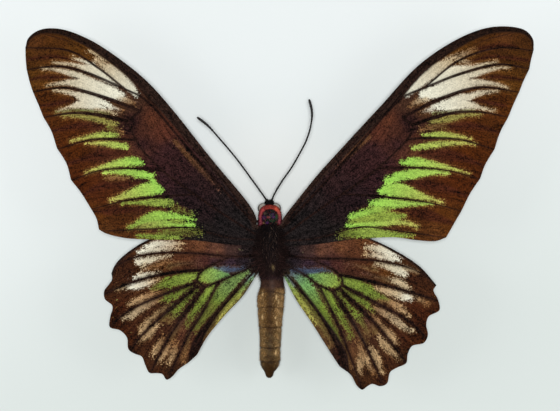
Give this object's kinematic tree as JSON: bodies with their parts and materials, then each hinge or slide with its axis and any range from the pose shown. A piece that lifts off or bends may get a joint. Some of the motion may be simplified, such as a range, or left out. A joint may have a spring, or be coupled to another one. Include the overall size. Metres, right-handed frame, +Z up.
{
  "type": "rajah brookes birdwing",
  "caption": "Life-size female birdwing butterfly with spread, veined wings, standing on its six feet.",
  "frame": {"origin": "on the floor under the middle of the whole plan", "axes": "+Y towards the head, +X towards the insect's right wings, +Z up from the floor"},
  "size_m": [0.1549, 0.1109, 0.0172],
  "materials": {
    "forewing_scale": "fine scales, dark brown with green and cream streaks",
    "hindwing_scale": "fine scales, green by the body and dark brown at the margin",
    "black_hair": "short soft black hair",
    "red_hair": "short crimson hair",
    "brown_scale": "short brown scales, slightly lustrous",
    "black_horn": "smooth black horn",
    "eye": "glossy faceted eye"
  },
  "bodies": {
    "root": {"head": "black_hair", "eye_left": "eye", "eye_right": "eye", "antenna_left": "black_horn", "antenna_right": "black_horn", "palp_left": "black_hair", "palp_right": "black_hair", "proboscis": "black_horn", "collar": "red_hair", "thorax": "black_hair", "abdomen": "brown_scale", "leg_fore_left": "black_horn", "leg_fore_right": "black_horn", "leg_mid_left": "black_horn", "leg_mid_right": "black_horn", "leg_hind_left": "black_horn", "leg_hind_right": "black_horn", "wing_fore_left": "forewing_scale", "wing_fore_right": "forewing_scale", "wing_hind_left": "hindwing_scale", "wing_hind_right": "hindwing_scale"}
  },
  "joints": []
}
